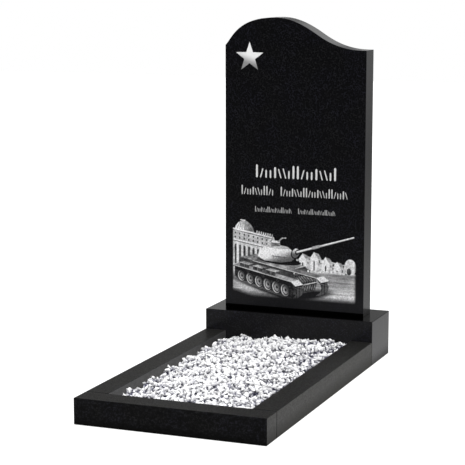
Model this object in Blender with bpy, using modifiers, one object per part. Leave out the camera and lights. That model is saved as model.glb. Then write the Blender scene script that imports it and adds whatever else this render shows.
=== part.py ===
"""An upright headstone: a polished black granite slab on a plinth, with a grave kerb full of marble chips.

Run with: blender --background --python part.py
Lengths are in metres. X runs to the viewer's right, the front faces -Y, and Z is up.
The origin is on the ground, under the middle of the whole memorial.
"""

import math
import random

import bmesh
import bpy
from mathutils import Matrix

# The plinth carries the slab and closes the kerb at the back.
PLINTH_WIDTH = 0.600
PLINTH_DEPTH = 0.200
PLINTH_HEIGHT = 0.150

# The slab stands on the middle of the plinth. Heights on it are measured from its foot.
SLAB_WIDTH = 0.500
SLAB_THICKNESS = 0.080
SLAB_HEIGHT = 1.000
LEFT_SHOULDER_DROP = 0.094
RIGHT_SHOULDER_DROP = 0.105
PEAK_FROM_LEFT = 0.180

# The wave top between its peak and the two shoulders, in shares of the run and of the drop on that side.
LEFT_SHOULDER_PULL = (0.13, 0.24)
PEAK_PULL_LEFT = 0.76
PEAK_PULL_RIGHT = 0.20
TURN_PLACE = (0.475, 0.55)
TURN_PULL_UP = (0.11, 0.22)
TURN_PULL_DOWN = (0.235, 0.47)
RIGHT_SHOULDER_PULL = 0.10
WAVE_STEPS = 16

# The kerb lies in front of the plinth: a bar across the front, and one along each side.
KERB_LENGTH = 1.000
KERB_HEIGHT = 0.080
FRONT_BAR_WIDTH = 0.080
SIDE_BAR_WIDTH = 0.075

# Every polished block has a small arris, and its neighbours stand a hair off it.
ARRIS = 0.0015
JOINT_GAP = 0.0003

# The star cut into the slab, one point up.
STAR_FROM_LEFT = 0.088
STAR_BELOW_SHOULDER = 0.040
STAR_RADIUS = 0.0525
STAR_WAIST = 0.0207
STAR_DEPTH = 0.0012

# The inscription: rows of shallow strokes that aren't letters. A word is a run of marks.
STROKE_DEPTH = 0.0010
WORD_SPACE = 0.022
ROWS = (
    {"left": 0.108, "right": 0.096, "base": 0.457, "height": 0.0465, "words": (6,), "stroke": 0.0072},
    {"left": 0.057, "right": 0.059, "base": 0.397, "height": 0.0336, "words": (4, 8), "stroke": 0.0048},
    {"left": 0.108, "right": 0.102, "base": 0.339, "height": 0.0203, "words": (8, 8), "stroke": 0.0030},
)
# The strokes of one mark: place across it, width and length as shares, and lean in degrees.
MARKS = (
    ((0.15, 1.0, 1.00, 0.0), (0.50, 0.6, 0.74, 16.0), (0.83, 0.8, 0.62, 0.0)),
    ((0.15, 0.8, 0.62, 0.0), (0.49, 1.0, 0.86, 0.0), (0.83, 0.6, 0.74, -16.0)),
    ((0.17, 0.6, 0.80, -16.0), (0.50, 0.8, 0.62, 0.0), (0.83, 1.0, 1.00, 0.0)),
)
STROKE_POINT = 0.5

# The bed of loose marble chips inside the kerb, level by its left and right walls and in the middle.
CHIP_SPACING = 0.026
CHIP_BUMP = 0.012
BED_LEFT_DROP = 0.020
BED_RIGHT_DROP = 0.008
BED_CROWN = 0.008
BED_UNEVEN = 0.003
BED_SEED = 7

MEMORIAL_DEPTH = PLINTH_DEPTH + KERB_LENGTH
BACK_Y = MEMORIAL_DEPTH / 2
PLINTH_FRONT_Y = BACK_Y - PLINTH_DEPTH
KERB_FRONT_Y = PLINTH_FRONT_Y - KERB_LENGTH
FRONT_BAR_BACK_Y = KERB_FRONT_Y + FRONT_BAR_WIDTH
SLAB_MIDDLE_Y = BACK_Y - PLINTH_DEPTH / 2
SLAB_FRONT_Y = SLAB_MIDDLE_Y - SLAB_THICKNESS / 2
SLAB_FOOT_Z = PLINTH_HEIGHT + JOINT_GAP
SLAB_LEFT_X = -SLAB_WIDTH / 2


def clear_scene():
    """Remove every object of the scene that is open."""
    for thing in list(bpy.data.objects):
        bpy.data.objects.remove(thing, do_unlink=True)


def new_collection(name):
    """A collection of the scene, for the pieces or for the cutters."""
    collection = bpy.data.collections.new(name)
    bpy.context.scene.collection.children.link(collection)
    return collection


def new_material(name, colour, roughness):
    """A plain stone with its colour and its polish."""
    material = bpy.data.materials.new(name)
    material.use_nodes = True
    shader = material.node_tree.nodes["Principled BSDF"]
    shader.inputs["Base Color"].default_value = (*colour, 1.0)
    shader.inputs["Roughness"].default_value = roughness
    shader.inputs["Metallic"].default_value = 0.0
    return material


def new_object(name, bm, collection, parent=None, material=None):
    """An object that takes the shape in a bmesh."""
    mesh = bpy.data.meshes.new(name)
    bm.to_mesh(mesh)
    bm.free()
    thing = bpy.data.objects.new(name, mesh)
    collection.objects.link(thing)
    thing.parent = parent
    if material:
        mesh.materials.append(material)
    return thing


def add_arris(thing):
    """Take the sharp edge off a block, on every edge but the gentle ones of a curve."""
    bevel = thing.modifiers.new("arris", "BEVEL")
    bevel.width = ARRIS
    bevel.segments = 1
    bevel.limit_method = "ANGLE"
    bevel.angle_limit = math.radians(30)


def make_block(name, width, depth, height, left_x, front_y, collection, parent, material):
    """A sawn and polished block that stands on the ground, placed by its left front corner."""
    bm = bmesh.new()
    bmesh.ops.create_cube(bm, size=1.0, matrix=Matrix.Diagonal((width, depth, height, 1.0)))
    block = new_object(name, bm, collection, parent, material)
    block.location = (left_x + width / 2, front_y + depth / 2, height / 2)
    add_arris(block)
    return block


def wave_knots():
    """The slab's outline as knots: each one's place, and the ends of its two handles."""
    left_z = SLAB_HEIGHT - LEFT_SHOULDER_DROP
    right_z = SLAB_HEIGHT - RIGHT_SHOULDER_DROP
    right_x = SLAB_LEFT_X + SLAB_WIDTH
    peak_x = SLAB_LEFT_X + PEAK_FROM_LEFT
    left_run = PEAK_FROM_LEFT
    right_run = SLAB_WIDTH - PEAK_FROM_LEFT
    turn_x = peak_x + TURN_PLACE[0] * right_run
    turn_z = SLAB_HEIGHT - TURN_PLACE[1] * RIGHT_SHOULDER_DROP
    shoulder_handle = (SLAB_LEFT_X + LEFT_SHOULDER_PULL[0] * left_run,
                       left_z + LEFT_SHOULDER_PULL[1] * LEFT_SHOULDER_DROP)
    turn_handle_up = (turn_x - TURN_PULL_UP[0] * right_run, turn_z + TURN_PULL_UP[1] * RIGHT_SHOULDER_DROP)
    turn_handle_down = (turn_x + TURN_PULL_DOWN[0] * right_run, turn_z - TURN_PULL_DOWN[1] * RIGHT_SHOULDER_DROP)
    return (
        ((SLAB_LEFT_X, 0.0), None, None),
        ((SLAB_LEFT_X, left_z), None, shoulder_handle),
        ((peak_x, SLAB_HEIGHT), (peak_x - PEAK_PULL_LEFT * left_run, SLAB_HEIGHT),
         (peak_x + PEAK_PULL_RIGHT * right_run, SLAB_HEIGHT)),
        ((turn_x, turn_z), turn_handle_up, turn_handle_down),
        ((right_x, right_z), (right_x - RIGHT_SHOULDER_PULL * right_run, right_z), None),
        ((right_x, 0.0), None, None),
    )


def make_slab(collection, parent, material):
    """The slab, sawn to the wave outline. Its place is its foot's middle."""
    curve = bpy.data.curves.new("slab_outline", "CURVE")
    curve.dimensions = "2D"
    curve.fill_mode = "BOTH"
    curve.extrude = SLAB_THICKNESS / 2
    curve.resolution_u = WAVE_STEPS
    spline = curve.splines.new("BEZIER")
    knots = wave_knots()
    spline.bezier_points.add(len(knots) - 1)
    for point, (place, before, after) in zip(spline.bezier_points, knots):
        point.handle_left_type = "FREE" if before else "VECTOR"
        point.handle_right_type = "FREE" if after else "VECTOR"
        point.co = (*place, 0.0)
        point.handle_left = (*(before or place), 0.0)
        point.handle_right = (*(after or place), 0.0)
    spline.use_cyclic_u = True
    outline = bpy.data.objects.new("slab_outline", curve)
    collection.objects.link(outline)
    outline.rotation_euler = (math.radians(90), 0.0, 0.0)
    outline.location = (0.0, SLAB_MIDDLE_Y, SLAB_FOOT_Z)
    bpy.context.view_layer.update()

    mesh = bpy.data.meshes.new_from_object(outline.evaluated_get(bpy.context.evaluated_depsgraph_get()))
    bm = bmesh.new()
    bm.from_mesh(mesh)
    bmesh.ops.remove_doubles(bm, verts=bm.verts, dist=0.000001)
    bmesh.ops.recalc_face_normals(bm, faces=bm.faces)
    slab = new_object("headstone_slab", bm, collection, parent, material)
    slab.matrix_world = outline.matrix_world.copy()
    bpy.data.objects.remove(outline, do_unlink=True)
    bpy.data.meshes.remove(mesh)
    add_arris(slab)
    return slab


def add_recess(bm, outline, depth):
    """Add a closed prism to a cutter: an outline on the slab's face, sunk to a depth."""
    clear_of_face = 0.002
    corners = [bm.verts.new((x, SLAB_FRONT_Y - clear_of_face, SLAB_FOOT_Z + z)) for x, z in outline]
    face = bm.faces.new(corners)
    grown = bmesh.ops.extrude_face_region(bm, geom=[face], use_keep_orig=True)
    moved = [item for item in grown["geom"] if isinstance(item, bmesh.types.BMVert)]
    bmesh.ops.translate(bm, verts=moved, vec=(0.0, clear_of_face + depth, 0.0))


def cut_into(slab, bm, name, cutters):
    """Cut a finished cutter out of the slab."""
    bmesh.ops.recalc_face_normals(bm, faces=bm.faces)
    cutter = new_object(name, bm, cutters)
    cutter.hide_render = True
    cutter.display_type = "WIRE"
    cut = slab.modifiers.new(name, "BOOLEAN")
    cut.operation = "DIFFERENCE"
    cut.solver = "EXACT"
    cut.object = cutter


def cut_star(slab, cutters):
    """The five-pointed star near the left shoulder."""
    middle_x = SLAB_LEFT_X + STAR_FROM_LEFT
    middle_z = SLAB_HEIGHT - LEFT_SHOULDER_DROP - STAR_BELOW_SHOULDER
    outline = []
    for corner in range(10):
        radius = STAR_WAIST if corner % 2 else STAR_RADIUS
        angle = math.radians(90 + 36 * corner)
        outline.append((middle_x + radius * math.cos(angle), middle_z + radius * math.sin(angle)))
    bm = bmesh.new()
    add_recess(bm, outline, STAR_DEPTH)
    cut_into(slab, bm, "star_cutter", cutters)


def stroke_outline(middle_x, base_z, width, length, lean):
    """One chisel stroke with pointed ends, leaning from the vertical about its middle."""
    half_width = width / 2
    half_length = length / 2
    point = STROKE_POINT * width
    shape = ((0.0, half_length), (-half_width, half_length - point), (-half_width, point - half_length),
             (0.0, -half_length), (half_width, point - half_length), (half_width, half_length - point))
    turn_cos = math.cos(math.radians(lean))
    turn_sin = math.sin(math.radians(lean))
    return [(middle_x + x * turn_cos + z * turn_sin, base_z + half_length + z * turn_cos - x * turn_sin)
            for x, z in shape]


def cut_inscription(slab, cutters):
    """The rows of strokes, word by word and mark by mark."""
    bm = bmesh.new()
    for row in ROWS:
        spaces = WORD_SPACE * (len(row["words"]) - 1)
        mark_width = (SLAB_WIDTH - row["left"] - row["right"] - spaces) / sum(row["words"])
        mark_left = SLAB_LEFT_X + row["left"]
        for word in row["words"]:
            for mark in range(word):
                for place, width, length, lean in MARKS[mark % len(MARKS)]:
                    outline = stroke_outline(mark_left + place * mark_width, row["base"],
                                             width * row["stroke"], length * row["height"], lean)
                    add_recess(bm, outline, STROKE_DEPTH)
                mark_left += mark_width
            mark_left += WORD_SPACE
    cut_into(slab, bm, "inscription_cutter", cutters)


def bed_level(across, along):
    """The level of the chips below the kerb's top, by place across and along the bed from 0 to 1."""
    wall_drop = BED_LEFT_DROP + (BED_RIGHT_DROP - BED_LEFT_DROP) * across
    crown = BED_CROWN * math.sin(math.pi * across) * math.sin(math.pi * along)
    return KERB_HEIGHT - wall_drop + crown


def make_chip_bed(collection, parent, material):
    """The loose chips as one solid: a bed on the ground whose top has a low bump for each chip."""
    left_x = -PLINTH_WIDTH / 2 + SIDE_BAR_WIDTH + JOINT_GAP
    front_y = FRONT_BAR_BACK_Y + JOINT_GAP
    width = PLINTH_WIDTH - 2 * (SIDE_BAR_WIDTH + JOINT_GAP)
    length = PLINTH_FRONT_Y - JOINT_GAP - front_y
    across_count = max(2, round(width / CHIP_SPACING))
    along_count = max(2, round(length / CHIP_SPACING))
    chance = random.Random(BED_SEED)

    bm = bmesh.new()
    bmesh.ops.create_grid(bm, x_segments=across_count, y_segments=along_count, size=0.5)
    valleys = list(bm.verts)
    peaks = bmesh.ops.poke(bm, faces=bm.faces[:])["verts"]
    sway = 0.22
    for vert in valleys + peaks:
        across = vert.co.x + 0.5
        along = vert.co.y + 0.5
        bump = CHIP_BUMP if vert in peaks else -CHIP_BUMP
        level = bed_level(across, along) + bump / 2 + chance.uniform(-BED_UNEVEN, BED_UNEVEN)
        if not vert.is_boundary:
            across += chance.uniform(-sway, sway) / across_count
            along += chance.uniform(-sway, sway) / along_count
        vert.co = (left_x + across * width, front_y + along * length, level)
    rim = [edge for edge in bm.edges if edge.is_boundary]
    wall = bmesh.ops.extrude_edge_only(bm, edges=rim)["geom"]
    for vert in wall:
        if isinstance(vert, bmesh.types.BMVert):
            vert.co.z = 0.0
    bmesh.ops.holes_fill(bm, edges=[edge for edge in bm.edges if edge.is_boundary], sides=0)
    bmesh.ops.recalc_face_normals(bm, faces=bm.faces)
    return new_object("marble_chips", bm, collection, parent, material)


def build():
    """Make every piece of the memorial, from the plinth forward and up."""
    clear_scene()
    pieces = new_collection("upright_headstone")
    cutters = new_collection("cutters")
    memorial = bpy.data.objects.new("memorial", None)
    pieces.objects.link(memorial)

    slab_stone = new_material("slab_granite", (0.010, 0.010, 0.012), 0.12)
    plinth_stone = new_material("plinth_granite", (0.012, 0.012, 0.013), 0.12)
    front_stone = new_material("front_bar_granite", (0.012, 0.012, 0.012), 0.15)
    left_stone = new_material("left_bar_granite", (0.013, 0.013, 0.012), 0.15)
    right_stone = new_material("right_bar_granite", (0.013, 0.013, 0.013), 0.15)
    chip_stone = new_material("white_marble", (0.82, 0.82, 0.85), 0.75)

    make_block("plinth", PLINTH_WIDTH, PLINTH_DEPTH, PLINTH_HEIGHT, -PLINTH_WIDTH / 2, PLINTH_FRONT_Y,
               pieces, memorial, plinth_stone)
    slab = make_slab(pieces, memorial, slab_stone)
    cut_star(slab, cutters)
    cut_inscription(slab, cutters)

    make_block("kerb_front_bar", PLINTH_WIDTH, FRONT_BAR_WIDTH, KERB_HEIGHT, -PLINTH_WIDTH / 2, KERB_FRONT_Y,
               pieces, memorial, front_stone)
    side_front_y = FRONT_BAR_BACK_Y + JOINT_GAP
    side_length = PLINTH_FRONT_Y - JOINT_GAP - side_front_y
    make_block("kerb_left_bar", SIDE_BAR_WIDTH, side_length, KERB_HEIGHT, -PLINTH_WIDTH / 2, side_front_y,
               pieces, memorial, left_stone)
    make_block("kerb_right_bar", SIDE_BAR_WIDTH, side_length, KERB_HEIGHT, PLINTH_WIDTH / 2 - SIDE_BAR_WIDTH,
               side_front_y, pieces, memorial, right_stone)
    make_chip_bed(pieces, memorial, chip_stone)


build()
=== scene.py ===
import math
import random

import bmesh
import bpy
import numpy as np
from mathutils import Matrix, Vector


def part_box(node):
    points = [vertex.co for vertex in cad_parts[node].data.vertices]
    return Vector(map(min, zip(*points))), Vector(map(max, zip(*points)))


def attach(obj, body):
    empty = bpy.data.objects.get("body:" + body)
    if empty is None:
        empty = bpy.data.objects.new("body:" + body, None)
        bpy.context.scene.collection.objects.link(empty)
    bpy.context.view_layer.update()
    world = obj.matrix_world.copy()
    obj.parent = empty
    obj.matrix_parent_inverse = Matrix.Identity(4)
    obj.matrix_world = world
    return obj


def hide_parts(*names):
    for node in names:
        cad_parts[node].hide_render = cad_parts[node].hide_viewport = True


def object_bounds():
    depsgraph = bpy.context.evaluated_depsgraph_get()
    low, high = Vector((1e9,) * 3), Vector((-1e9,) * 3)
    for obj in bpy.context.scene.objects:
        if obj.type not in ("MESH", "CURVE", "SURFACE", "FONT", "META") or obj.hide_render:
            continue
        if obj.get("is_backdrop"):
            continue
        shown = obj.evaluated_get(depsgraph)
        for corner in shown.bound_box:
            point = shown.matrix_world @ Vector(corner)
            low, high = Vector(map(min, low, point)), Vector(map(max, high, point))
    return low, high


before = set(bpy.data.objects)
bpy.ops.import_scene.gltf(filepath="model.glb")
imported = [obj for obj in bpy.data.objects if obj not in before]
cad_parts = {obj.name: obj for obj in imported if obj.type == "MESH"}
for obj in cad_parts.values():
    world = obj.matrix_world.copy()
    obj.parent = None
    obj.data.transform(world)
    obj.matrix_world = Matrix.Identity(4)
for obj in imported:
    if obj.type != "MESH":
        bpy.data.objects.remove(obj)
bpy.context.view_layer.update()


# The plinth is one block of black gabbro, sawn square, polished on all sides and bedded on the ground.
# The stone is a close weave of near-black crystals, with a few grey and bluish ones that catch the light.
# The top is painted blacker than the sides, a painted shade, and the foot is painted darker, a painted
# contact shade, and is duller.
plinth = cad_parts["plinth"]
plinth_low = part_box("plinth")[0]
plinth_black = (0.0080, 0.0080, 0.0087)
plinth_crystals = (0.0190, 0.0190, 0.0200)
stone_shine = 0.22
crystals_per_metre = 360.0
crystal_relief = 0.0002


# The stones are built from a few kinds of node: a graded value, a sum, a mix of colours and a grain.
def graded(tree, value, start, end, low=0.0, high=1.0, smooth=False):
    grade = tree.nodes.new("ShaderNodeMapRange")
    grade.interpolation_type = "SMOOTHSTEP" if smooth else "LINEAR"
    for socket, number in (("From Min", start), ("From Max", end), ("To Min", low), ("To Max", high)):
        grade.inputs[socket].default_value = number
    tree.links.new(value, grade.inputs["Value"])
    return grade.outputs["Result"]


def reckoned(tree, operation, *values, clamp=False):
    step = tree.nodes.new("ShaderNodeMath")
    step.operation = operation
    step.use_clamp = clamp
    for socket, value in zip(step.inputs, values):
        if isinstance(value, float):
            socket.default_value = value
        else:
            tree.links.new(value, socket)
    return step.outputs["Value"]


def mixed(tree, share, first, second):
    mix = tree.nodes.new("ShaderNodeMix")
    mix.data_type = "RGBA"
    tree.links.new(share, mix.inputs["Factor"])
    for socket, colour in (("A", first), ("B", second)):
        if isinstance(colour, tuple):
            mix.inputs[socket].default_value = (*colour, 1.0)
        else:
            tree.links.new(colour, mix.inputs[socket])
    return mix.outputs["Result"]


def grainy(tree, where, scale, detail, roughness=0.5):
    grain = tree.nodes.new("ShaderNodeTexNoise")
    grain.inputs["Scale"].default_value = scale
    grain.inputs["Detail"].default_value = detail
    grain.inputs["Roughness"].default_value = roughness
    tree.links.new(where, grain.inputs["Vector"])
    return grain.outputs["Fac"]


def on_piece(tree):
    return tree.nodes.new("ShaderNodeTexCoord").outputs["Object"]


def rough_up(tree, height, strength, distance):
    relief = tree.nodes.new("ShaderNodeBump")
    relief.inputs["Strength"].default_value = strength
    relief.inputs["Distance"].default_value = distance
    tree.links.new(height, relief.inputs["Height"])
    tree.links.new(relief.outputs["Normal"], tree.nodes["Principled BSDF"].inputs["Normal"])


def black_granite(name, place, dark, crystal, polish):
    stone = bpy.data.materials.new(name)
    stone.use_nodes = True
    tree = stone.node_tree
    link = tree.links.new
    shader = tree.nodes["Principled BSDF"]
    shader.inputs["Specular IOR Level"].default_value = stone_shine
    shift = tree.nodes.new("ShaderNodeMapping")
    shift.inputs["Location"].default_value = place
    link(on_piece(tree), shift.inputs["Vector"])
    where = shift.outputs["Vector"]
    crystals = tree.nodes.new("ShaderNodeTexVoronoi")
    crystals.inputs["Scale"].default_value = crystals_per_metre
    link(where, crystals.inputs["Vector"])
    one_crystal = tree.nodes.new("ShaderNodeSeparateColor")
    link(crystals.outputs["Color"], one_crystal.inputs["Color"])
    pale_ones = graded(tree, one_crystal.outputs["Red"], 0.60, 1.0, smooth=True)
    clouds = graded(tree, grainy(tree, where, 70.0, 4.0, 0.6), 0.35, 0.68, low=0.45)
    blue_drifts = graded(tree, grainy(tree, where, 13.0, 2.0), 0.42, 0.62)
    bluish = (crystal[0], crystal[1], crystal[2] * 1.35)
    crystal_colour = mixed(tree, blue_drifts, crystal, bluish)
    colour = mixed(tree, reckoned(tree, "MULTIPLY", pale_ones, clouds), dark, crystal_colour)
    link(colour, shader.inputs["Base Color"])
    gloss = graded(tree, one_crystal.outputs["Green"], 0.0, 1.0, polish * 0.78, polish * 1.22)
    link(gloss, shader.inputs["Roughness"])
    rough_up(tree, crystals.outputs["Distance"], 0.03, crystal_relief)
    return stone


# Painted shade: the near black laid over tops and the feet of the stones, and the heights where the foot's
# painted shade starts and is full. The foot is rougher up to the last height.
painted_shade_black = (0.0002, 0.0002, 0.0002)
foot_shade_top = plinth_low.z + 0.026
foot_shade_darkest = plinth_low.z + 0.004
dull_top = plinth_low.z + 0.050


def axes(tree, vector):
    split = tree.nodes.new("ShaderNodeSeparateXYZ")
    tree.links.new(vector, split.inputs["Vector"])
    return split.outputs


def upward(tree):
    return axes(tree, tree.nodes.new("ShaderNodeNewGeometry").outputs["True Normal"])["Z"]


def colour_over(tree, share, colour):
    base = tree.nodes["Principled BSDF"].inputs["Base Color"]
    tree.links.new(mixed(tree, share, base.links[0].from_socket, colour), base)


# Painted shade: faces that look up are painted blacker than the sides.
def paint_top_shade(stone):
    tree = stone.node_tree
    colour_over(tree, graded(tree, upward(tree), 0.3, 0.95), painted_shade_black)


def dull_over(tree, share, roughness):
    gloss = tree.nodes["Principled BSDF"].inputs["Roughness"]
    duller = tree.nodes.new("ShaderNodeMix")
    tree.links.new(share, duller.inputs["Factor"])
    tree.links.new(gloss.links[0].from_socket, duller.inputs["A"])
    duller.inputs["B"].default_value = roughness
    tree.links.new(duller.outputs["Result"], gloss)


# Painted contact shade: the foot is painted black towards the ground, and is rougher there.
def paint_foot_shade_and_dull(stone, duller):
    tree = stone.node_tree
    height = axes(tree, on_piece(tree))["Z"]
    colour_over(tree, graded(tree, height, foot_shade_top, foot_shade_darkest), painted_shade_black)
    dull_over(tree, graded(tree, height, dull_top, plinth_low.z), duller)


plinth_stone = black_granite("plinth_granite", (3.1, 0.7, 1.9), plinth_black, plinth_crystals, 0.13)
paint_top_shade(plinth_stone)
paint_foot_shade_and_dull(plinth_stone, 0.45)
plinth.data.materials.clear()
plinth.data.materials.append(plinth_stone)


# The slab is polished gabbro, sawn to its wave top and stood on the middle of the plinth.
# Its star and rows of strokes are cut about a millimetre deep and painted silver grey.
# The picture below them is pricked into the polish with a fine needle, so the bare stone stays black.
slab_low, slab_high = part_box("headstone_slab")
picture_low = (slab_low.x + 0.022, slab_low.z + 0.034)
picture_high = (slab_high.x - 0.020, slab_low.z + 0.318)
needle_step = 0.0012
stroke_zone = (slab_low.z + 0.33, slab_low.z + 0.51)
star_middle = (slab_low.x + 0.088, slab_low.z + 0.866)
star_reach = 0.058


def is_on_front(face):
    return max(vert.co.y for vert in face.verts) < slab_low.y + 0.00001


def is_cut(face):
    middle = face.calc_center_median()
    if middle.y < slab_low.y + 0.00005 or middle.y > slab_low.y + 0.003:
        return 0
    if stroke_zone[0] < middle.z < stroke_zone[1] and abs(middle.x) < slab_high.x - 0.01:
        return 1
    if math.hypot(middle.x - star_middle[0], middle.z - star_middle[1]) < star_reach:
        return 2
    return 0


bm = bmesh.new()
bm.from_mesh(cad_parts["headstone_slab"].data)
prick_layer = bm.verts.layers.float.new("pricked")
bmesh.ops.remove_doubles(bm, verts=bm.verts, dist=0.00001)
bmesh.ops.delete(bm, geom=[face for face in bm.faces if is_on_front(face)], context="FACES")
picture_width = picture_high[0] - picture_low[0]
picture_height = picture_high[1] - picture_low[1]
picture_middle = Vector(((picture_low[0] + picture_high[0]) / 2, slab_low.y,
                         (picture_low[1] + picture_high[1]) / 2))
onto_face = (Matrix.Translation(picture_middle) @ Matrix.Rotation(math.radians(90), 4, "X")
             @ Matrix.Diagonal((picture_width, picture_height, 1.0, 1.0)))
patch = bmesh.ops.create_grid(bm, x_segments=round(picture_width / needle_step),
                              y_segments=round(picture_height / needle_step), size=0.5,
                              matrix=onto_face)["verts"]
bmesh.ops.triangle_fill(bm, edges=[edge for edge in bm.edges if edge.is_boundary], normal=(0.0, -1.0, 0.0))
bmesh.ops.recalc_face_normals(bm, faces=bm.faces)
for face in bm.faces:
    face.material_index = is_cut(face)
    face.smooth = True
for edge in bm.edges:
    edge.smooth = edge.calc_face_angle(0.0) < math.radians(30)

across = np.array([vert.co.x for vert in patch])
up = np.array([vert.co.z - slab_low.z for vert in patch])
tone = np.zeros(len(patch))
needle_blur = 0.0013


def ramp(value, start, end):
    share = np.clip((value - start) / (end - start), 0.0, 1.0)
    return share * share * (3.0 - 2.0 * share)


def from_stretch(start, end):
    run, rise = end[0] - start[0], end[1] - start[1]
    share = ((across - start[0]) * run + (up - start[1]) * rise) / (run * run + rise * rise)
    along = np.clip(share, 0.0, 1.0)
    return along, np.hypot(across - start[0] - along * run, up - start[1] - along * rise)


def area(*points):
    distance = np.full(len(across), 1.0)
    within = np.zeros(len(across), bool)
    for (x0, z0), (x1, z1) in zip(points, points[1:] + points[:1]):
        distance = np.minimum(distance, from_stretch((x0, z0), (x1, z1))[1])
        if z1 != z0:
            within ^= ((up > z0) != (up > z1)) & (across < x0 + (up - z0) * (x1 - x0) / (z1 - z0))
    return ramp(np.where(within, -distance, distance), needle_blur / 2, -needle_blur / 2)


def oval(middle, wide, high, slope=0.0, blur=needle_blur):
    x = across - middle[0]
    z = up - middle[1] - slope * x
    return ramp((np.hypot(x / wide, z / high) - 1.0) * min(wide, high), blur / 2, -blur / 2)


def line(start, end, width, end_width=None):
    along, distance = from_stretch(start, end)
    width_there = width + ((end_width or width) - width) * along
    return ramp(distance - width_there / 2, needle_blur / 2, -needle_blur / 2)


def mottle(wide, high, seed):
    lattice = np.random.default_rng(seed).random((400, 400))
    x = (across + 0.3) / wide
    z = (up + 0.1) / high
    i, j = x.astype(int), z.astype(int)
    u, v = ramp(x - i, 0.0, 1.0), ramp(z - j, 0.0, 1.0)
    lower = lattice[i, j] * (1 - u) + lattice[i + 1, j] * u
    upper = lattice[i, j + 1] * (1 - u) + lattice[i + 1, j + 1] * u
    return lower * (1 - v) + upper * v


def etch(cover, shade):
    tone[:] = tone * (1 - cover) + shade * cover


grit = mottle(0.0026, 0.0026, 1)
rubble = mottle(0.0065, 0.0055, 2)
weather = mottle(0.024, 0.016, 3)
wear = 0.55 * rubble + 0.45 * weather

# Far away on the right stand gabled cottages among low bushes, and a round haystack.
etch(area((0.010, 0.125), (0.010, 0.188), (0.050, 0.196), (0.110, 0.186), (0.170, 0.176), (0.222, 0.168),
          (0.222, 0.120)) * ramp(rubble, 0.15, 0.35), 0.58 + 0.42 * rubble)
for cottage in range(4):
    left = 0.020 + 0.041 * cottage
    eaves = 0.184 + 0.007 * ((cottage * 2) % 3) - 0.007 * cottage
    ridge = eaves + 0.019
    etch(area((left + 0.013, ridge), (left + 0.026, eaves), (left + 0.039, eaves - 0.002),
              (left + 0.028, ridge - 0.003)), 0.50 + 0.34 * rubble)
    etch(area((left + 0.026, 0.138), (left + 0.026, eaves), (left + 0.037, eaves - 0.002),
              (left + 0.037, 0.138)), 0.64 + 0.34 * wear)
    etch(area((left, 0.138), (left, eaves), (left + 0.013, ridge), (left + 0.026, eaves),
              (left + 0.026, 0.138)), 0.90 + 0.10 * wear)
    etch(line((left - 0.001, eaves), (left + 0.013, ridge + 0.001), 0.0018), 1.0)
    etch(line((left + 0.013, 0.150), (left + 0.013, eaves - 0.012), 0.0044), 0.14)
    etch(line((left + 0.032, eaves - 0.014), (left + 0.032, eaves - 0.008), 0.0032), 0.10)
for bush in range(16):
    place = (0.016 + 0.0125 * bush, 0.147 - 0.004 * (bush % 3))
    etch(oval(place, 0.0088, 0.0072) * ramp(rubble, 0.15, 0.45), 0.62 + 0.38 * rubble)
etch(oval((0.202, 0.166), 0.021, 0.029), 0.88 + 0.12 * ramp(across + up, 0.335, 0.380) - 0.1 * rubble)
etch(oval((0.198, 0.152), 0.008, 0.012), 0.20)
for sheaf in range(6):
    etch(line((0.185 + 0.006 * sheaf, 0.150), (0.194 + 0.003 * sheaf, 0.188), 0.0010), 0.58)

# A domed hall fills the left: cornices over an arcade, its front running back to the right.
hall_left = -0.224


def on_hall(place, height):
    return (hall_left + place, height - 0.17 * place)


etch(area(on_hall(0.0, 0.100), on_hall(0.0, 0.276), on_hall(0.154, 0.276), on_hall(0.154, 0.130)),
     0.60 + 0.40 * wear)
etch(area((-0.216, 0.268), (-0.213, 0.286), (-0.203, 0.299), (-0.187, 0.306), (-0.171, 0.304),
          (-0.157, 0.294), (-0.147, 0.279), (-0.143, 0.258)),
     0.52 + 0.42 * ramp(across, -0.150, -0.205) + 0.25 * (rubble - 0.5))
for rib in range(7):
    etch(line((-0.210 + 0.0108 * rib, 0.272 - 0.0015 * rib), (-0.196 + 0.0036 * rib, 0.303), 0.0012), 0.28)
etch(line((-0.194, 0.308), (-0.178, 0.307), 0.0035), 0.95)
for bay in range(9):
    foot = on_hall(0.011 + 0.0166 * bay, 0.160)
    head = on_hall(0.011 + 0.0166 * bay, 0.222)
    etch(line(foot, head, 0.0074), 0.10 + 0.30 * rubble)
    etch(line((foot[0] + 0.0083, foot[1]), (head[0] + 0.0083, head[1] + 0.009), 0.0042),
         0.80 + 0.20 * weather)
    for storey in (0.250, 0.264):
        window = on_hall(0.010 + 0.0166 * bay, storey)
        etch(oval(window, 0.0025, 0.0038), 0.12)
for height, width, shade in ((0.2775, 0.0046, 1.0), (0.2725, 0.0017, 0.16), (0.2405, 0.0046, 1.0),
                             (0.2362, 0.0018, 0.12), (0.2570, 0.0016, 0.80)):
    etch(line(on_hall(0.0, height), on_hall(0.150, height), width), shade - 0.12 * rubble)
for block in range(8):
    etch(line(on_hall(0.090 + 0.008 * block, 0.277), on_hall(0.090 + 0.008 * block, 0.287), 0.0044),
         0.60 + 0.40 * rubble)

# The open ground is pale and runs off to the right in soft streaks, with shade under the vehicle.
ground_top = 0.140 - 0.022 * ramp(across, 0.020, -0.200)
streaks = 0.60 * mottle(0.080, 0.0050, 5) + 0.40 * mottle(0.030, 0.0034, 6)
ground_light = 0.36 + 0.42 * streaks + 0.28 * ramp(across, 0.00, 0.16) * ramp(up, 0.118, 0.070)
ground_light += 0.24 * ramp(across, -0.050, -0.170) * ramp(up, 0.110, 0.085)
etch(ramp(up - ground_top, 0.003, -0.003), ground_light)
etch(oval((-0.088, 0.066), 0.116, 0.009, -0.28, 0.012), 0.08)
etch(oval((0.052, 0.062), 0.080, 0.015, 0.16, 0.016), 0.07)


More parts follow.
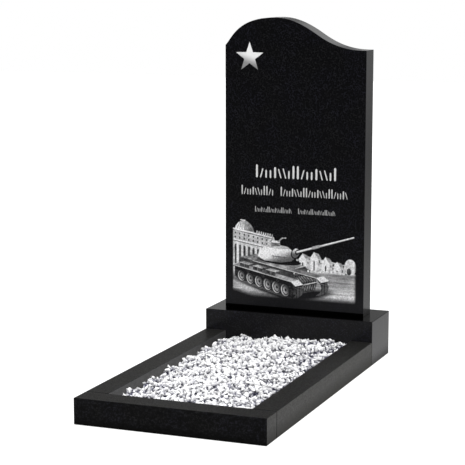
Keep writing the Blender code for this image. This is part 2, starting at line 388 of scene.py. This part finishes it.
# The vehicle is a plain tracked one of no make in particular, drawn from three numbers a point:
# its place along the hull from the tail, across the hull from the near side, and its height.
def on_hull(length, width, height):
    nearness = 0.80 + 0.20 * length
    return (-0.208 + 0.204 * length + 0.106 * width * nearness,
            0.098 - 0.056 * length + 0.022 * width + 0.106 * height * nearness)


side_slope = -0.275
etch(area(on_hull(-0.03, 0.2, 0.50), on_hull(-0.03, 0.2, 0.88), on_hull(0.84, 0.2, 0.86),
          on_hull(1.00, 0.2, 0.56), on_hull(1.00, 0.2, 0.10), on_hull(0.0, 0.2, 0.10)), 0.12 + 0.24 * wear)
etch(area(on_hull(-0.03, 0.2, 0.88), on_hull(0.0, 0.85, 0.90), on_hull(0.80, 0.85, 0.88),
          on_hull(0.84, 0.2, 0.86)), 0.24 + 0.52 * wear)
for plate in range(6):
    start = 0.02 + 0.13 * plate
    etch(line(on_hull(start, 0.22, 0.88), on_hull(start + 0.02, 0.85, 0.89), 0.0013), 0.08)
    etch(line(on_hull(start + 0.01, 0.22, 0.885), on_hull(start + 0.03, 0.85, 0.895), 0.0011), 0.72)
    etch(line(on_hull(start + 0.02, 0.2, 0.62), on_hull(start + 0.02, 0.2, 0.84), 0.0013), 0.42)
etch(area(on_hull(0.84, 0.20, 0.86), on_hull(0.80, 0.85, 0.88), on_hull(1.02, 0.80, 0.48),
          on_hull(1.05, 0.20, 0.46)),
     0.18 + 0.30 * ramp(across * 0.5 - up, -0.150, -0.095) + 0.26 * (rubble - 0.5))
etch(line(on_hull(0.84, 0.20, 0.86), on_hull(0.80, 0.85, 0.88), 0.0022), 0.85)
etch(area(on_hull(1.05, 0.20, 0.45), on_hull(1.02, 0.80, 0.47), on_hull(0.98, 0.80, 0.16),
          on_hull(1.00, 0.20, 0.14)), 0.10 + 0.20 * rubble)
for spare in range(7):
    side = 0.25 + 0.080 * spare
    etch(line(on_hull(1.03, side, 0.52), on_hull(0.94, side - 0.01, 0.70), 0.0068), 0.06)
    etch(line(on_hull(1.02, side, 0.54), on_hull(0.95, side - 0.01, 0.68), 0.0038), 0.36 + 0.36 * rubble)
    etch(line(on_hull(1.00, side, 0.24), on_hull(1.02, side, 0.40), 0.0034), 0.34 + 0.34 * rubble)
etch(line(on_hull(1.05, 0.20, 0.46), on_hull(1.02, 0.80, 0.48), 0.0024), 0.95)
for lamp in (0.26, 0.74):
    place = on_hull(0.90, lamp, 0.78)
    etch(oval(place, 0.0054, 0.0056), 0.06)
    etch(oval(place, 0.0036, 0.0038), 1.0)

# Each track is a belt of plates: dark, with a bright edge to every plate where it turns up at the nose.
for near, far in ((0.80, 1.04), (-0.04, 0.20)):
    nose = [(1.00 + 0.09 * math.sin(math.pi * share), 0.02 + 0.56 * share)
            for share in np.linspace(0.0, 1.0, 15)]
    etch(area(*[on_hull(length, near, height) for length, height in nose],
              *[on_hull(length, far, height) for length, height in reversed(nose)]), 0.06 + 0.14 * grit)
    for length, height in nose:
        etch(line(on_hull(length, near + 0.02, height), on_hull(length, far - 0.02, height), 0.0017),
             0.40 + 0.40 * height)
    etch(line(on_hull(1.06, near + 0.08, 0.06), on_hull(1.06, near + 0.08, 0.54), 0.0022), 0.08)
    etch(line(on_hull(1.06, near + 0.16, 0.06), on_hull(1.06, near + 0.16, 0.54), 0.0022), 0.08)
etch(area(on_hull(-0.02, -0.04, 0.16), on_hull(-0.02, -0.04, 0.58), on_hull(1.02, -0.04, 0.58),
          on_hull(1.05, -0.04, 0.30), on_hull(1.00, -0.04, 0.00), on_hull(0.10, -0.04, 0.00)),
     0.07 + 0.16 * rubble)
link_count = 46
for plate in range(link_count):
    length = 0.06 + 0.94 * plate / (link_count - 1)
    foot = on_hull(length, -0.04, 0.0)
    etch(line(foot, (foot[0] + 0.0012, foot[1] + 0.0062), 0.0020), 0.62 - 0.30 * rubble)
for wheel in range(6):
    hub = on_hull(0.10 + 0.158 * wheel, -0.04, 0.25)
    size = 0.96 + 0.032 * wheel
    light_side = ramp(across - hub[0] + 0.6 * (up - hub[1]), 0.014, -0.014)
    etch(oval(hub, 0.0150 * size, 0.0205 * size, side_slope), 0.05)
    etch(oval(hub, 0.0134 * size, 0.0186 * size, side_slope), 0.22 + 0.66 * light_side)
    etch(oval((hub[0] + 0.0012, hub[1]), 0.0110 * size, 0.0154 * size, side_slope), 0.12 + 0.16 * grit)
    etch(oval((hub[0] + 0.0016, hub[1]), 0.0082 * size, 0.0114 * size, side_slope), 0.34 + 0.46 * light_side)
    etch(oval((hub[0] + 0.0022, hub[1]), 0.0030 * size, 0.0042 * size, side_slope), 0.10)
for roller in range(3):
    place = on_hull(0.22 + 0.27 * roller, -0.04, 0.50)
    etch(oval(place, 0.0050, 0.0056, side_slope), 0.44)
    etch(oval(place, 0.0022, 0.0026, side_slope), 0.10)

# Over the tracks lie the fenders, with boxes on the near one. They shade the wheels' tops.
etch(area(on_hull(-0.02, -0.04, 0.43), on_hull(-0.02, -0.04, 0.60), on_hull(1.04, -0.04, 0.60),
          on_hull(1.04, -0.04, 0.43)) * 0.62, 0.04)
for near, far in ((0.80, 1.06), (-0.06, 0.20)):
    etch(area(on_hull(-0.04, near, 0.60), on_hull(-0.04, far, 0.62), on_hull(1.00, far, 0.62),
              on_hull(1.00, near, 0.60)), 0.34 + 0.46 * weather)
    etch(area(on_hull(1.00, near, 0.60), on_hull(1.00, far, 0.62), on_hull(1.09, far, 0.50),
              on_hull(1.09, near, 0.48)), 0.90 + 0.10 * weather)
    etch(line(on_hull(-0.04, near, 0.595), on_hull(1.00, near, 0.595), 0.0020), 0.92)
    etch(line(on_hull(-0.04, near, 0.565), on_hull(1.00, near, 0.565), 0.0024), 0.05)
    etch(line(on_hull(1.09, near, 0.480), on_hull(1.09, far, 0.500), 0.0020), 0.06)
for box in range(3):
    start = 0.06 + 0.24 * box
    etch(area(on_hull(start, -0.02, 0.62), on_hull(start, -0.02, 0.76), on_hull(start + 0.17, -0.02, 0.76),
              on_hull(start + 0.17, -0.02, 0.62)), 0.10 + 0.26 * rubble)
    etch(area(on_hull(start, -0.02, 0.76), on_hull(start + 0.01, 0.13, 0.78),
              on_hull(start + 0.18, 0.13, 0.78), on_hull(start + 0.17, -0.02, 0.76)), 0.50 + 0.34 * weather)
    etch(line(on_hull(start, -0.02, 0.76), on_hull(start + 0.17, -0.02, 0.76), 0.0016), 0.90)
    etch(line(on_hull(start + 0.085, -0.02, 0.64), on_hull(start + 0.085, -0.02, 0.75), 0.0014), 0.60)


# The turret is a low round-cornered casting, lit from the left, with a hatch on top and a raised barrel.
def on_turret(side, height):
    return (-0.060 + side, 0.191 + height)


etch(oval(on_turret(0.008, -0.017), 0.078, 0.013, -0.06), 0.04)
etch(area(on_turret(-0.070, -0.006), on_turret(-0.066, 0.013), on_turret(-0.048, 0.029),
          on_turret(-0.020, 0.036), on_turret(0.022, 0.035), on_turret(0.048, 0.026),
          on_turret(0.064, 0.012), on_turret(0.066, -0.004), on_turret(0.052, -0.016),
          on_turret(0.014, -0.023), on_turret(-0.046, -0.019)),
     0.40 + 0.56 * ramp(up - 0.34 * across, 0.186, 0.226) + 0.16 * (wear - 0.5))
etch(oval(on_turret(-0.036, 0.006), 0.032, 0.018, 0.25, 0.014) * 0.8, 1.0)
etch(oval(on_turret(0.000, 0.031), 0.044, 0.0066, -0.05), 0.92 - 0.25 * rubble)
etch(area(on_turret(-0.022, 0.032), on_turret(-0.021, 0.047), on_turret(0.010, 0.048),
          on_turret(0.012, 0.033)), 0.30 + 0.30 * rubble)
etch(oval(on_turret(-0.006, 0.048), 0.0170, 0.0040), 0.90)
etch(line(on_turret(0.004, 0.049), on_turret(0.018, 0.062), 0.0050), 0.60)
etch(line(on_turret(0.018, 0.062), on_turret(0.032, 0.063), 0.0024), 0.85)
etch(line(on_turret(-0.040, 0.030), on_turret(-0.043, 0.062), 0.0012), 0.50)
etch(line(on_turret(-0.020, -0.002), on_turret(0.036, -0.004), 0.0020), 0.12)
etch(line(on_turret(-0.020, 0.000), on_turret(0.036, -0.002), 0.0013), 0.80)
for rung in range(3):
    etch(line(on_turret(-0.014 + 0.020 * rung, -0.010), on_turret(-0.014 + 0.020 * rung, 0.000), 0.0013),
         0.15)
etch(oval(on_turret(0.066, 0.012), 0.0160, 0.0185, 0.25), 0.07)
etch(oval(on_turret(0.067, 0.013), 0.0132, 0.0158, 0.25), 0.38 + 0.50 * ramp(up, 0.196, 0.216))
etch(oval(on_turret(0.073, 0.016), 0.0080, 0.0090, 0.25), 0.10)
etch(line((0.012, 0.2065), (0.214, 0.2682), 0.0100, 0.0064), 0.14)
etch(line((0.012, 0.2078), (0.214, 0.2696), 0.0070, 0.0046), 0.72)
etch(line((0.012, 0.2090), (0.214, 0.2706), 0.0038, 0.0026), 1.0)
etch(line((0.070, 0.2262), (0.090, 0.2322), 0.0098), 0.66)

# The needle's pricks make it all grainy, and it thins out to bare polish along the edges and at the foot.
tone *= 0.82 + 0.34 * grit
tone *= ramp(across, -0.2255, -0.2195) * ramp(across, 0.2265, 0.2150)
tone *= ramp(up - 0.018 * ramp(across, -0.140, -0.235), 0.0355, 0.0620)
pricked = np.clip(tone, 0.0, 1.0) ** 2.2
prick_depth = 0.00025
for vert, share in zip(patch, pricked):
    vert[prick_layer] = float(share)
    vert.co.y += prick_depth * float(share)

slab_mesh = bpy.data.meshes.new("polished_slab")
bm.to_mesh(slab_mesh)
bm.free()
slab = bpy.data.objects.new("polished_slab", slab_mesh)
bpy.context.scene.collection.objects.link(slab)


# Towards its foot the slab is painted a little paler, a painted reflection, strongest near the foot.
# The lowest centimetre is painted black, a painted dark reflection of the plinth's top.
painted_reflection_grey = (0.0145, 0.0145, 0.0160)
painted_reflection_top = slab_low.z + 0.22
painted_reflection_strongest = slab_low.z + 0.05
painted_reflection_share = 0.55
foot_shade_band_top = slab_low.z + 0.0130
foot_shade_band_foot = slab_low.z + 0.0100


def add_foot_reflection_and_shade(stone):
    tree = stone.node_tree
    height = axes(tree, on_piece(tree))["Z"]
    colour_over(tree, graded(tree, height, painted_reflection_top, painted_reflection_strongest, high=painted_reflection_share), painted_reflection_grey)
    colour_over(tree, graded(tree, height, foot_shade_band_top, foot_shade_band_foot), painted_shade_black)


# Pricked stone is white and matt. The needle bites unevenly, so the white is broken by fine grit.
def add_pricked_picture(stone):
    tree = stone.node_tree
    layer = tree.nodes.new("ShaderNodeAttribute")
    layer.attribute_name = "pricked"
    bite = graded(tree, grainy(tree, on_piece(tree), 1100.0, 2.0), 0.3, 0.7, 0.7, 1.1)
    share = reckoned(tree, "MULTIPLY", layer.outputs["Fac"], bite, clamp=True)
    colour_over(tree, share, (0.85, 0.85, 0.86))
    dull_over(tree, graded(tree, share, 0.0, 0.08), 0.75)


# The paint has fine grit in it. It is greyer in the lower rows, and towards the star's lower left.
def silver_paint(name, lean_share, dimmest, full, fade_start, fade_end):
    paint = bpy.data.materials.new(name)
    paint.use_nodes = True
    tree = paint.node_tree
    shader = tree.nodes["Principled BSDF"]
    shader.inputs["Roughness"].default_value = 0.55
    where = on_piece(tree)
    place = axes(tree, where)
    lean = reckoned(tree, "MULTIPLY_ADD", place["X"], lean_share, place["Z"])
    grey_level = graded(tree, lean, fade_start, fade_end, dimmest, full, smooth=True)
    paint_grit = grainy(tree, where, 900.0, 3.0)
    shade = reckoned(tree, "MULTIPLY", grey_level, graded(tree, paint_grit, 0.0, 1.0, 0.85, 1.10))
    tree.links.new(shade, shader.inputs["Base Color"])
    rough_up(tree, paint_grit, 0.3, 0.0003)
    return paint


slab_black = (0.0025, 0.0025, 0.0029)
slab_crystals = (0.0113, 0.0113, 0.0121)
star_lean = 0.30
star_height = star_lean * star_middle[0] + star_middle[1]
star_fade = (star_height - 0.026, star_height + 0.012)
row_fade = (slab_low.z + 0.35, slab_low.z + 0.47)
slab_stone = black_granite("slab_granite", (0.4, 5.2, 2.2), slab_black, slab_crystals, 0.17)
# Painted reflection towards the slab's foot, and a painted dark reflection on its lowest centimetre.
add_foot_reflection_and_shade(slab_stone)
add_pricked_picture(slab_stone)
slab_mesh.materials.append(slab_stone)
slab_mesh.materials.append(silver_paint("stroke_paint", 0.0, 0.36, 0.56, *row_fade))
slab_mesh.materials.append(silver_paint("star_paint", star_lean, 0.21, 0.69, *star_fade))
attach(slab, "root")
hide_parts("headstone_slab")


# The kerb is three sawn bars of the same gabbro: one across the front, and one along each side to the
# plinth. They butt against each other and the plinth, with a hair of joint between them.
# They are honed, not polished, so a film of dust pales what is seen of them at a low angle.
bed_low, bed_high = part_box("marble_chips")
kerb_black = (0.0008, 0.0008, 0.0010)
kerb_crystals = (0.0150, 0.0150, 0.0160)
dust_film = 0.047
painted_chip_reflection_grey = (0.060, 0.060, 0.063)
wall_reach = 0.0012


# A dust sheen is set on the shader. The walls round the chips are painted paler in blotches, a painted
# reflection of the white chips.
def add_dust_sheen_and_chip_reflection(stone):
    tree = stone.node_tree
    shader = tree.nodes["Principled BSDF"]
    shader.inputs["Sheen Weight"].default_value = dust_film
    shader.inputs["Sheen Roughness"].default_value = 0.45
    shader.inputs["Sheen Tint"].default_value = (1.0, 0.98, 0.86, 1.0)
    where = on_piece(tree)
    place = axes(tree, where)
    beside = reckoned(tree, "ABSOLUTE", place["X"])
    near_side = reckoned(tree, "LESS_THAN", beside, bed_high.x + wall_reach)
    near_front = reckoned(tree, "GREATER_THAN", place["Y"], bed_low.y - wall_reach)
    reflection_blotches = graded(tree, grainy(tree, where, 60.0, 5.0), 0.3, 0.7, low=0.6)
    painted_light = reckoned(tree, "MULTIPLY", reckoned(tree, "MULTIPLY", near_side, near_front), reflection_blotches)
    colour_over(tree, painted_light, painted_chip_reflection_grey)


for bar_name, place in (("kerb_front_bar", (1.7, 2.9, 0.3)), ("kerb_left_bar", (7.3, 1.1, 4.0)),
                        ("kerb_right_bar", (2.6, 6.4, 5.5))):
    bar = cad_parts[bar_name]
    bar_stone = black_granite(bar_name + "_granite", place, kerb_black, kerb_crystals, 0.42)
    # The walls round the chips get a painted reflection of the white chips.
    add_dust_sheen_and_chip_reflection(bar_stone)
    # The bars' feet get the same painted contact shade and are rougher there.
    paint_foot_shade_and_dull(bar_stone, 0.62)
    bar.data.materials.clear()
    bar.data.materials.append(bar_stone)


# The chips are crushed white marble, loose inside the kerb: broken faces, sharp edges, no two alike.
# Each one is dropped on those below it, where the heap is furthest from full.
# Deep between them the marble is painted a bluish grey with depth, a painted shade, least on the faces that
# look up, a painted light.
chip_length = 0.0225
chip_breadth_share = 0.70
chip_height_share = 0.54
shape_count = 28
chips_thrown = 7600
spots_tried = 7
settling = 0.0015
bed_thickness = 0.026
gap_shade_depth = 0.0062
kerb_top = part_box("kerb_front_bar")[1].z
chance = random.Random(11)


def broken_chip():
    bm = bmesh.new()
    for _ in range(11):
        way = Vector((chance.gauss(0, 1), chance.gauss(0, 1), chance.gauss(0, 1))).normalized()
        reach = chance.uniform(0.40, 0.55)
        bm.verts.new((way.x * reach, way.y * reach * chip_breadth_share, way.z * reach * chip_height_share))
    hull = bmesh.ops.convex_hull(bm, input=bm.verts)
    loose = [vert for vert in hull["geom_interior"] if isinstance(vert, bmesh.types.BMVert)]
    bmesh.ops.delete(bm, geom=loose, context="VERTS")
    mesh = bpy.data.meshes.new("broken_chip")
    bm.to_mesh(mesh)
    bm.free()
    return mesh


# The heap is highest along its middle, laps up against the plinth, and rises and falls in humps.
def heap_level(across_share, along_share):
    wall = kerb_top - 0.021 + 0.014 * across_share
    crown = 0.011 * math.sin(math.pi * across_share) * math.sin(math.pi * along_share) ** 0.5
    humps = 0.0072 * math.sin(41.0 * along_share + 2.0 + 3.0 * across_share)
    humps *= math.sin(23.0 * across_share + 1.0)
    swell = 0.0025 * math.sin(9.0 * along_share + 2.0) * math.sin(5.0 * across_share + 1.0)
    against_plinth = 0.006 * along_share ** 6
    return wall + crown + humps + swell + against_plinth


shapes = [broken_chip() for _ in range(shape_count)]
cell = 0.002
columns = int((bed_high.x - bed_low.x) / cell)
rows = int((bed_high.y - bed_low.y) / cell)
level = np.array([[heap_level((i + 0.5) / columns, (j + 0.5) / rows) for j in range(rows)]
                  for i in range(columns)])
heap = level - bed_thickness
deep_bed = float(heap.min())
chips = bmesh.new()
for _ in range(chips_thrown):
    shape = chance.choice(shapes)
    size = chip_length * chance.uniform(0.62, 1.20)
    lie = (Matrix.Rotation(chance.gauss(0.0, 0.7), 4, "X") @ Matrix.Rotation(chance.gauss(0.0, 0.7), 4, "Y")
           @ Matrix.Rotation(chance.uniform(0.0, math.tau), 4, "Z"))
    scale = Matrix.Diagonal((size, size, size, 1.0))
    turn = Matrix.Rotation(chance.uniform(0.0, math.tau), 4, "Z") @ lie @ scale
    corners = np.array([turn @ vert.co for vert in shape.vertices])
    low = corners.min(0)
    high = corners.max(0)
    wide = int(math.ceil((high[0] - low[0]) / cell)) + 1
    long = int(math.ceil((high[1] - low[1]) / cell)) + 1
    grid_x = low[0] + cell * np.arange(wide)[:, None]
    grid_y = low[1] + cell * np.arange(long)[None, :]
    top = np.full((wide, long), 1.0)
    under = np.full((wide, long), -1.0)
    for face in shape.polygons:
        a, b, c = (Vector(corners[index]) for index in face.vertices[:3])
        normal = (b - a).cross(c - a)
        if abs(normal.z) < 1e-9:
            continue
        plane = (normal.dot(a) - normal.x * grid_x - normal.y * grid_y) / normal.z
        if normal.z > 0:
            top = np.minimum(top, plane)
        else:
            under = np.maximum(under, plane)
    solid = top > under
    best = None
    for _ in range(spots_tried):
        i = chance.randrange(0, columns - wide + 1)
        j = chance.randrange(0, rows - long + 1)
        rest_z = np.max((heap[i:i + wide, j:j + long] - under)[solid])
        over = rest_z + high[2] - level[i + wide // 2, j + long // 2]
        if best is None or over < best[0]:
            best = (over, i, j, rest_z)
    over, i, j, rest_z = best
    if over > chance.uniform(0.004, 0.017):
        continue
    rest_z -= settling
    window = heap[i:i + wide, j:j + long]
    window[solid] = np.maximum(window[solid], rest_z + top[solid])
    spot = Vector((bed_low.x + i * cell - low[0], bed_low.y + j * cell - low[1], rest_z))
    fresh = shape.copy()
    fresh.transform(Matrix.Translation(spot) @ turn)
    chips.from_mesh(fresh)
    bpy.data.meshes.remove(fresh)
depth_layer = chips.verts.layers.float.new("depth")
# Each corner's depth below the heap's face sets its painted shade; the shade starts a little deeper across
# the middle of the bed.
for vert in chips.verts:
    i = min(columns - 1, max(0, int((vert.co.x - bed_low.x) / cell)))
    j = min(rows - 1, max(0, int((vert.co.y - bed_low.y) / cell)))
    unshaded_depth = 0.0008 + 0.0021 * math.sin(math.pi * (i + 0.5) / columns)
    vert[depth_layer] = min(1.0, max(0.0, (level[i, j] - unshaded_depth - vert.co.z) / gap_shade_depth))
# Under the chips a block stands for the deeper bed, painted wholly in shade.
painted_shade_underbed = bmesh.ops.create_cube(chips, size=1.0, matrix=Matrix.Translation(
    ((bed_low.x + bed_high.x) / 2, (bed_low.y + bed_high.y) / 2, (bed_low.z + deep_bed) / 2 + 0.002))
    @ Matrix.Diagonal((bed_high.x - bed_low.x, bed_high.y - bed_low.y, deep_bed - bed_low.z, 1.0)))["verts"]
for vert in painted_shade_underbed:
    vert[depth_layer] = 1.0
chips_mesh = bpy.data.meshes.new("loose_marble_chips")
chips.to_mesh(chips_mesh)
chips.free()
chip_bed = bpy.data.objects.new("loose_marble_chips", chips_mesh)
bpy.context.scene.collection.objects.link(chip_bed)

# The polished fronts in the photograph mirror no chips, so these are hidden from mirror rays.
chip_bed.visible_glossy = False


def white_marble():
    marble = bpy.data.materials.new("white_marble")
    marble.use_nodes = True
    tree = marble.node_tree
    shader = tree.nodes["Principled BSDF"]
    shader.inputs["Roughness"].default_value = 0.7
    shader.inputs["Specular IOR Level"].default_value = 0.3
    where = on_piece(tree)
    veins = graded(tree, grainy(tree, where, 55.0, 5.0, 0.6), 0.55, 0.75)
    broken_face = mixed(tree, veins, (0.90, 0.90, 0.90), (0.73, 0.73, 0.81))
    # Painted shade between the chips: bluish dark deep down, paler on faces that look up, a painted light.
    painted_light = mixed(tree, graded(tree, upward(tree), 0.45, 0.95), (0.032, 0.032, 0.068), (0.20, 0.20, 0.26))
    depth = tree.nodes.new("ShaderNodeAttribute")
    depth.attribute_name = "depth"
    tree.links.new(mixed(tree, depth.outputs["Fac"], broken_face, painted_light), shader.inputs["Base Color"])
    rough_up(tree, grainy(tree, where, 620.0, 2.0), 0.22, 0.0006)
    return marble


chips_mesh.materials.append(white_marble())
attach(chip_bed, "root")
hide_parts("marble_chips")


# The studio is a plain white floor under a large soft light, with a softer one from the front right.
# The camera stands to the right of the front, as in the photograph.
floor_bm = bmesh.new()
bmesh.ops.create_grid(floor_bm, x_segments=1, y_segments=1, size=14.0,
                      matrix=Matrix.Translation((0, 0, -0.001)))
floor_mesh = bpy.data.meshes.new("floor")
floor_bm.to_mesh(floor_mesh)
floor_bm.free()
floor = bpy.data.objects.new("floor", floor_mesh)
bpy.context.scene.collection.objects.link(floor)
floor_paint = bpy.data.materials.new("floor_paint")
floor_paint.use_nodes = True
floor_shader = floor_paint.node_tree.nodes["Principled BSDF"]
floor_shader.inputs["Base Color"].default_value = (0.35, 0.35, 0.35, 1.0)
floor_shader.inputs["Roughness"].default_value = 1.0
floor_shader.inputs["Specular IOR Level"].default_value = 0.0
floor_shader.inputs["Emission Color"].default_value = (1.0, 1.0, 1.0, 1.0)
floor_shader.inputs["Emission Strength"].default_value = 0.82
floor_mesh.materials.append(floor_paint)
floor.visible_glossy = False
floor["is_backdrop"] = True


def soft_light(name, way, spread, strength):
    lamp = bpy.data.lights.new(name, "SUN")
    lamp.angle = math.radians(spread)
    lamp.energy = strength
    thing = bpy.data.objects.new(name, lamp)
    thing.rotation_euler = Vector(way).to_track_quat("Z", "Y").to_euler()
    thing.visible_glossy = False
    bpy.context.scene.collection.objects.link(thing)


soft_light("overhead_light", (0.10, 0.15, 1.0), 50.0, 2.8)
soft_light("front_light", (0.42, -0.80, 0.55), 30.0, 2.5)

world = bpy.data.worlds.new("studio")
bpy.context.scene.world = world
world.use_nodes = True
sky_tree = world.node_tree
direction = sky_tree.nodes.new("ShaderNodeTexCoord").outputs["Generated"]


def glow(way, spread, strength):
    facing = sky_tree.nodes.new("ShaderNodeVectorMath")
    facing.operation = "DOT_PRODUCT"
    facing.inputs[1].default_value = Vector(way).normalized()
    sky_tree.links.new(direction, facing.inputs[0])
    edge = math.cos(math.radians(spread))
    return graded(sky_tree, facing.outputs["Value"], edge, 1.0, high=strength, smooth=True)


def mirrored_wall(stops, fade_start, fade_end):
    way = axes(sky_tree, direction)
    wall = sky_tree.nodes.new("ShaderNodeValToRGB")
    points = wall.color_ramp.elements
    while len(points) < len(stops):
        points.new(0.5)
    for point, (height, strength) in zip(points, stops):
        point.position = (height + 1.0) / 2
        point.color = (strength, strength, strength, 1.0)
    sky_tree.links.new(graded(sky_tree, way["Z"], -1.0, 1.0), wall.inputs["Fac"])
    side = graded(sky_tree, way["Y"], fade_start, fade_end, smooth=True)
    return reckoned(sky_tree, "MULTIPLY", wall.outputs["Color"], side)


# The polished stone mirrors a bright wall behind it, brightest near the ground, and a dim one in front.
# A lamp glows behind it and another overhead. Two dim patches on the wall behind darken the plinth's top
# at the right and the kerb at the left. The camera itself sees plain white.
wall_behind = ((-0.45, 0.80), (-0.32, 0.88), (-0.22, 0.70), (-0.16, 0.36), (-0.11, 0.23), (-0.05, 0.47),
               (0.16, 0.56), (0.235, 0.52), (0.262, 0.14), (0.32, 0.12), (0.60, 0.08), (1.00, 0.35))
wall_in_front = ((-0.45, 0.20), (-0.20, 0.24), (-0.13, 0.04), (0.00, 0.00))
mirrored = mirrored_wall(wall_behind, 0.10, 0.80)
for light in (mirrored_wall(wall_in_front, -0.10, -0.80), glow((-0.03, 0.95, 0.33), 14.0, 0.58),
              glow((0.0, 0.0, 1.0), 70.0, 0.35), glow((-0.28, 0.94, 0.175), 6.0, -0.32),
              glow((-0.52, 0.82, 0.23), 11.5, -0.42)):
    mirrored = reckoned(sky_tree, "ADD", mirrored, light)
mirrored = reckoned(sky_tree, "ADD", mirrored, 0.035, clamp=True)
seen = sky_tree.nodes.new("ShaderNodeMix")
sky_tree.links.new(sky_tree.nodes.new("ShaderNodeLightPath").outputs["Is Camera Ray"], seen.inputs["Factor"])
sky_tree.links.new(mirrored, seen.inputs["A"])
seen.inputs["B"].default_value = 1.0
sky = sky_tree.nodes["Background"]
sky.inputs["Color"].default_value = (1.0, 1.0, 1.0, 1.0)
sky_tree.links.new(seen.outputs["Result"], sky.inputs["Strength"])

camera_data = bpy.data.cameras.new("camera")
camera_data.lens = 125.57
camera_data.sensor_width = 36.0
camera = bpy.data.objects.new("camera", camera_data)
camera.location = (1.8216, -4.6789, 1.3040)
camera.rotation_euler = (math.radians(90 - 9.162), 0.0, math.radians(21.709))
bpy.context.scene.collection.objects.link(camera)
bpy.context.scene.camera = camera
bpy.context.scene.view_settings.view_transform = "Standard"

low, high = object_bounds()
